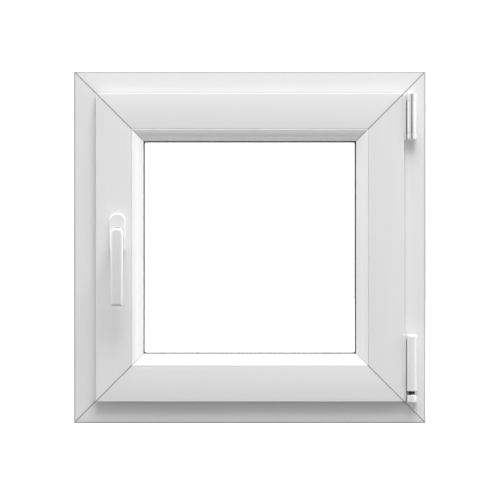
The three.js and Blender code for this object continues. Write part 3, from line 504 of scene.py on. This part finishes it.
seals = {
    # name: (profile corners (u, y), their radius, reach of the ring's corners, body, slot, node)
    "gasket_inner_lip": ([(114, -26), (117.6, -26), (119.2, -31.5), (120.6, -31.2), (121.1, -29.0),
                          (119.8, -24.4), (117, -23.3), (114, -23.3)],
                         0.7, 123.5, "sash", "grey_seal", "gasket_inner"),
    "gasket_outer_lip": ([(113, 3.7), (113, 1.3), (119.4, 1.3), (119, 2.6), (117.2, 3.7)], 0.4, 123.5,
                         "sash", "grey_seal", "gasket_outer"),
    "frame_stop_bulb": ([(60, 19.7), (60, 17.6), (61.2, 16.4), (62.8, 16.4), (64, 17.6), (64, 19.7)],
                        0.8, 68, "frame", "grey_seal", "frame_stop_seal"),
}
for name, (corners, radius, reach, body, slot, node) in seals.items():
    makePiece(name, [ringSweep(roundCorners(corners, radius), reach)], body, finishes[slot], [node])
print("seals made")


handle = {
    "x": -225, "z": 323, "front": -105, "back": -93, "width": 22, "endWidth": 20, "length": 121,
    "chamfer": 3.1, "backEdge": 2.2, "edgeRound": 0.7, "fall": 8.0, "footRound": 1.3, "leastRound": 0.25,
    "innerRings": (6.0, 8.6, 10.2),  # insets of the rings that close the grip's flat faces
    "neckRadius": 9.6, "neckFront": -93.5, "neckBack": -56.2, "neckRound": 0.8,
    # how much wider the neck is at each distance behind its front, and the step at its back rim
    "neckFlare": ((1.0, 0), (0.6, 2.5), (0, 7.5)), "neckRim": (0.8, 3.4),
}


def leverOutline(inset, sidePoints=22, headPoints=24):
    # a half circle over the spindle, straight sides that taper, and a square end with small round corners
    top, end = handle["width"] / 2 - inset, handle["endWidth"] / 2 - inset
    foot = min(max(handle["footRound"] - 0.3 * inset, handle["leastRound"]), 0.5 * max(end, 0.2))
    bottom = -handle["length"] + min(inset, handle["innerRings"][0])
    head = np.linspace(0, pi, headPoints)
    down = np.linspace(0, 1, sidePoints + 2)[1:-1]
    turn = np.linspace(0, pi / 2, 5)
    left = np.stack([-top + (top - end) * down, down * (bottom + foot)], -1)
    cornerLeft = np.stack([-end + foot * (1 - np.cos(turn)), bottom + foot * (1 - np.sin(turn))], -1)
    arch = np.stack([top * np.cos(head), top * np.sin(head)], -1)
    mirrored = np.array([-1, 1])
    return np.concatenate([arch, left, cornerLeft, cornerLeft[::-1] * mirrored, left[::-1] * mirrored])


def gripShell():
    # outline(inset) at each depth; the whole grip leans back below by fall (s / length)^2
    chamfer, front, back = handle["chamfer"], handle["front"], handle["back"]
    outerRing, *rings = handle["innerRings"]
    edge = roundBends([(outerRing, front), (chamfer, front), (0, front + chamfer * 0.8),
                       (0, back - handle["backEdge"]), (handle["backEdge"], back), (outerRing, back)],
                      handle["edgeRound"])
    inset = np.concatenate([rings[::-1], edge[:, 0], rings])
    depth = np.concatenate([[front] * len(rings), edge[:, 1], [back] * len(rings)])
    outline = np.stack([leverOutline(step) for step in inset])
    lean = handle["fall"] * np.clip(-outline[..., 1] / handle["length"], 0, 1) ** 2
    y = depth[:, None] + lean
    return shell(np.stack([handle["x"] + outline[..., 0], y, handle["z"] + outline[..., 1]], -1))


def neckShell():
    # a round neck that widens a little where it meets the grip
    r, front, back = handle["neckRadius"], handle["neckFront"], handle["neckBack"]
    flare = [(r + wider, front + behind) for wider, behind in handle["neckFlare"]]
    narrower, before = handle["neckRim"]
    profile = [(axisGap, front), *flare, (r, back - before), (r - narrower, back), (axisGap, back)]
    return lathe(roundBends(profile, handle["neckRound"]), (handle["x"], handle["z"]), "y", 56)


makePiece("handle_grip", [gripShell(), neckShell()], "handle", finishes["coated_white"],
          ["handle_lever"], sharpAbove=40)

rosette = {
    "front": -58.8, "back": -50.3, "width": 28, "height": 72, "rim": 2.4, "wall": 1.4, "hole": 11.4,
    "collar": 1.2, "dish": 0.3,
}


def rosetteShell(steps=24):
    # stadium offsets (radius R - inset about two centres) that close round the spindle hole: a hollow cap
    radius = rosette["width"] / 2
    halfStraight = (rosette["height"] - rosette["width"]) / 2
    turn = np.linspace(0, pi, steps)
    angle = np.concatenate([turn, turn + pi])
    centre = np.repeat([halfStraight, -halfStraight], steps)
    direction = np.stack([np.cos(angle), np.sin(angle)], -1)
    front, back = rosette["front"], rosette["back"]
    rim, wall, dish = rosette["rim"], rosette["wall"], rosette["dish"]
    outer = roundBends([(0, back), (0, front + 3.6), (0.7, front + 1.2), (rim, front),
                        (rim + 0.7, front + 0.25), (rim + 4.5, front + dish)], 0.6)
    inner = np.array([(wall + rim, front + wall + 0.4), (wall + 0.2, front + wall + 2), (wall, back)])

    def stadium(profile):
        stretched = direction[None] * (radius - profile[:, :1, None])
        stretched[..., 1] += centre
        return stretched, np.broadcast_to(profile[:, 1:], stretched.shape[:2])

    outerPlan, outerDepth = stadium(outer)
    innerPlan, innerDepth = stadium(inner)
    flat = outerPlan[-1]
    ray = flat / np.linalg.norm(flat, axis=1, keepdims=True)
    hole, collar = rosette["hole"] * ray, (rosette["hole"] + rosette["collar"]) * ray
    level = np.ones((1, 2 * steps))
    plan = np.concatenate([outerPlan, collar[None], hole[None], hole[None], innerPlan])
    y = np.concatenate([outerDepth, level * (front + dish), level * (front + 0.7),
                        level * (front + wall + dish), innerDepth])
    return shell(np.stack([handle["x"] + plan[..., 0], y, handle["z"] + plan[..., 1]], -1), closedRows=True)


makePiece("rosette_shell", [rosetteShell()], "sash", finishes["coated_white"],
          ["rosette_cover"], sharpAbove=40)
print("handle made")


# the hinge axis, and the foot that joins a bearing to the frame's face
hinge = {
    "x": 275.5, "y": -45, "radius": 8.6, "steps": 64, "footMargin": 0.1, "footFront": -44,
    "footBack": -35.3, "footShort": 0.4, "footRound": 1.4,
}
axis = (hinge["x"], hinge["y"])


def barrel(span, hole, lowEdge, highEdge):
    # a turned barrel between two heights, with chamfered rims and a bore through it
    radius, (low, high) = hinge["radius"], span
    outside = [(radius - lowEdge, low), (radius, low + lowEdge), (radius, high - highEdge),
               (radius - highEdge, high)]
    profile = np.concatenate([[(hole, low)], roundBends(outside, 0.4), [(hole, high)]])
    return lathe(profile, axis, steps=hinge["steps"], closed=True)


def footBlock(span):
    # the rounded block behind a bearing, a little shorter and narrower than its barrel
    half, short = hinge["radius"] - hinge["footMargin"], hinge["footShort"]
    return roundedBlock((axis[0] - half, hinge["footFront"], span[0] + short),
                        (axis[0] + half, hinge["footBack"], span[1] - short), hinge["footRound"])


# strips clipped to the sash's edge beside each hinge, which leave a dark slot before the barrel
edgeTrim = {
    "x": (262.05, 265.4), "y": (-49.2, -40.5), "upper": (483, 558), "lower": (39, 152), "round": 1.1,
}
for end in ("upper", "lower"):
    trimLow, trimHigh = zip(edgeTrim["x"], edgeTrim["y"], edgeTrim[end])
    makePiece(end + "_edge_trim", [roundedBlock(trimLow, trimHigh, edgeTrim["round"], 5)],
              "sash", finishes["cap_white"])

upperHinge = {"bearing": (494.7, 549.7), "bore": 3.5, "rim": 0.5}
makePiece("upper_bearing_cover",
          [barrel(upperHinge["bearing"], upperHinge["bore"], upperHinge["rim"], upperHinge["rim"]),
           footBlock(upperHinge["bearing"])],
          "frame", finishes["coated_white"], ["upper_bearing"])

stayPin = {
    "collar": (483.4, 494.4), "top": 560, "radius": 3.2, "socketRadius": 2.3, "socketDepth": 2.2,
    "chamfer": 1.6, "rim": (0.5, 0.4), "tip": (0.6, 0.8), "round": 0.5,
}


def stayPinShell():
    # a collar with a socket in its lower end, and the pin that rises from it through the bearing
    radius, (low, high), top = hinge["radius"], stayPin["collar"], stayPin["top"]
    socket, pin, floor = stayPin["socketRadius"], stayPin["radius"], low + stayPin["socketDepth"]
    chamfer, rim, tip = stayPin["chamfer"], stayPin["rim"], stayPin["tip"]
    profile = [(pinAxisGap, floor), (socket, floor), (socket, low), (radius - chamfer, low),
               (radius, low + chamfer), (radius, high - rim[1]), (radius - rim[0], high), (pin, high),
               (pin, top - tip[1]), (pin - tip[0], top), (pinAxisGap, top)]
    return lathe(roundBends(profile, stayPin["round"]), axis, steps=hinge["steps"])


makePiece("upper_pin_turned", [stayPinShell()], "stay_pin", finishes["coated_white"],
          ["upper_hinge_pin"])

# a grey strip let into the front of each part of the upper hinge: painted shade, standing in for the shadow
# down a groove in the hinge
paintedShadeStrip = {
    "x": (273.5, 276.7), "y": (-53.85, -51.5), "round": 0.5,
    "parts": (("eye", "stay", (550.3, 561.7)), ("bearing", "frame", (495.0, 549.4)),
              ("collar", "stay_pin", (485.2, 494.1))),
}
for part, body, span in paintedShadeStrip["parts"]:
    stripLow, stripHigh = zip(paintedShadeStrip["x"], paintedShadeStrip["y"], span)
    makePiece("upper_painted_shade_strip_" + part, [roundedBlock(stripLow, stripHigh, paintedShadeStrip["round"])],
              body, finishes["insert_grey"])

lowerHinge = {
    "cover": (56, 152), "wall": 1.6, "squareness": 2.6, "mouth": (0.3, 0.5), "shoulder": 2.6,
    "dome": (2.4, 0.3), "round": 1.2, "innerChamfer": 1.2,
    "cup": (36, 49), "cupBore": 5.4, "cupRims": (1.6, 0.7),
}


def coverShell(steps=80):
    # superellipse rings: up the outside, over a domed top, and down inside a wall thinner by the wall
    radius, (low, high), wall = hinge["radius"], lowerHinge["cover"], lowerHinge["wall"]
    mouth, dome, chamfer = lowerHinge["mouth"], lowerHinge["dome"], lowerHinge["innerChamfer"]
    outer = roundBends([(radius - mouth[0], low), (radius, low + mouth[1]),
                        (radius, high - lowerHinge["shoulder"]), (radius - dome[0], high - dome[1]),
                        (axisGap, high)], lowerHinge["round"])
    inner = np.array([(axisGap, high - wall), (radius - wall - chamfer, high - wall),
                      (radius - wall, high - wall - chamfer), (radius - wall, low)])
    rows = np.concatenate([outer, inner])
    unit = superellipse(1.0, lowerHinge["squareness"], steps)
    plan = rows[:, None, :1] * unit[None] + np.array(axis)
    z = np.broadcast_to(rows[:, 1][:, None, None], plan.shape[:2] + (1,))
    return shell(np.concatenate([plan, z], -1), closedRows=True)


makePiece("lower_hinge_shell", [coverShell()], "sash", finishes["cap_white"],
          ["lower_hinge_cover"])
makePiece("lower_bearing_cup",
          [barrel(lowerHinge["cup"], lowerHinge["cupBore"], *lowerHinge["cupRims"]),
           footBlock(lowerHinge["cup"])],
          "frame", finishes["coated_white"], ["lower_bearing"])
print("hinges made")


drain = {
    "low": (-21, 35.3, 17), "high": (21, 39.3, 29), "hoodRound": 1.6, "hoodBelow": 1.0,
    "slats": 5, "slatInset": 5, "slatHalf": 1.6, "slatRound": 0.7,
}


def drainShells():
    # a rounded hood with a row of raised slats across it
    low, high = np.array(drain["low"], float), np.array(drain["high"], float)
    hood = roundedBlock(low, high - np.array([0, drain["hoodBelow"], 0]), drain["hoodRound"], 5)
    centres = np.linspace(low[0] + drain["slatInset"], high[0] - drain["slatInset"], drain["slats"])
    half = drain["slatHalf"]
    slats = [roundedBlock((c - half, high[1] - half, low[2] + half), (c + half, high[1], high[2] - half),
                          drain["slatRound"]) for c in centres]
    return [hood, *slats]


makePiece("drain_hood", drainShells(), "frame", finishes["cap_white"], ["drain_cap"])


# the remaining hardware keeps its own meshes, with softened edges on metal and nylon
softEdge = {
    "width": 0.00022, "segments": 2, "angle": 0.7, "weld": 0.00001,
    "slots": ("zinc_hardware", "galvanised_steel", "coated_white", "dark_nylon"),
}
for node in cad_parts.values():
    if not node.hide_render:
        slotName = node.data.materials[0].name.split(".")[0]
        node.data.materials[0] = finishes[slotName]
        if slotName in softEdge["slots"]:
            node.modifiers.new("joined", "WELD").merge_threshold = softEdge["weld"]
            soften = node.modifiers.new("softEdge", "BEVEL")
            soften.width, soften.segments = softEdge["width"], softEdge["segments"]
            soften.limit_method, soften.angle_limit = "ANGLE", softEdge["angle"]
print("hardware finished")


studio = {
    "floorSize": 16.0, "mottle": 3, "floorPale": (0.9, 0.92), "floorGlow": 1.1, "floorShade": 0.25,
    "floorRoughness": 0.8, "skySeen": 1.4, "skyLight": 0.05,
    "domeLight": 0.69, "horizon": 0.12,
    # name: (place, aim, width, height, watts)
    "lights": {
        "overhead": ((0.5, -2.0, 4.7), (0.0, 0.0, 0.3), 3.0, 3.0, 228),
        "rightRim": ((4.2, -0.62, 0.9), (0.0, 0.0, 0.3), 1.0, 2.2, 78),
        "leftRim": ((-4.2, -0.55, 0.9), (0.0, 0.0, 0.3), 1.0, 2.2, 56),
        "rear": ((-1.6, 4.2, 3.4), (0.0, 0.0, 0.3), 2.6, 2.0, 70),
    },
}


def makeFloor():
    # one flat square at the sill's foot, which glows only where it is looked at
    reach = studio["floorSize"] / 2
    mesh = bpy.data.meshes.new("floor")
    corners = [(-reach, -reach, 0), (reach, -reach, 0), (reach, reach, 0), (-reach, reach, 0)]
    mesh.from_pydata(corners, [], [(0, 1, 2, 3)])
    floor = bpy.data.objects.new("floor", mesh)
    bpy.context.scene.collection.objects.link(floor)
    f = Finish("paleFloor")
    seen = f.put("ShaderNodeLightPath", output="Is Camera Ray")
    mottle = f.noise(f.place(), studio["mottle"], detail=2)
    pale = f.blend(mottle, *(grey(level) for level in studio["floorPale"]))
    mesh.materials.append(f.principled(
        Base_Color=f.blend(seen, grey(studio["floorShade"]), pale), Roughness=studio["floorRoughness"],
        Emission_Color=grey(1.0), Emission_Strength=seen * studio["floorGlow"]))


def makeSky():
    # full white to the eye; as a lamp, an even part plus a dome: even + dome max(0, z + horizon)
    world = bpy.data.worlds.new("studioWhite")
    bpy.context.scene.world = world
    world.use_nodes = True
    sky = Finish("sky", world.node_tree)
    direction = sky.put("ShaderNodeTexCoord", output="Generated")
    height = sky.put("ShaderNodeSeparateXYZ", None, {"Vector": direction}, output="Z")
    lamp = height.maths("MAXIMUM", height + studio["horizon"], 0.0) * studio["domeLight"]
    seen = sky.put("ShaderNodeLightPath", output="Is Camera Ray")
    level = seen * studio["skySeen"] + (1 - seen) * (lamp + studio["skyLight"])
    background = world.node_tree.nodes["Background"]
    background.inputs["Color"].default_value = grey(1.0)
    world.node_tree.links.new(level.socket, background.inputs["Strength"])


def makeLights():
    for name, (place, aim, width, height, watts) in studio["lights"].items():
        lamp = bpy.data.lights.new(name, "AREA")
        lamp.shape = "RECTANGLE"
        lamp.size, lamp.size_y, lamp.energy = width, height, watts
        lampObject = bpy.data.objects.new(name, lamp)
        bpy.context.scene.collection.objects.link(lampObject)
        lampObject.location = place
        lampObject.rotation_euler = (Vector(aim) - Vector(place)).to_track_quat("-Z", "Y").to_euler()


camera = {"place": (-0.07, -6.035, 0.37), "lens": 253.5, "sensor": 36, "shift": (0.0826, -0.0872)}


def makeCamera():
    lens = bpy.data.cameras.new("camera")
    lens.lens, lens.sensor_width = camera["lens"], camera["sensor"]
    lens.shift_x, lens.shift_y = camera["shift"]
    cameraObject = bpy.data.objects.new("camera", lens)
    bpy.context.scene.collection.objects.link(cameraObject)
    cameraObject.location = camera["place"]
    cameraObject.rotation_euler = (radians(90), 0, 0)
    bpy.context.scene.camera = cameraObject


makeFloor()
makeSky()
makeLights()
makeCamera()
bpy.context.scene.view_settings.view_transform = "Standard"
print("studio made")
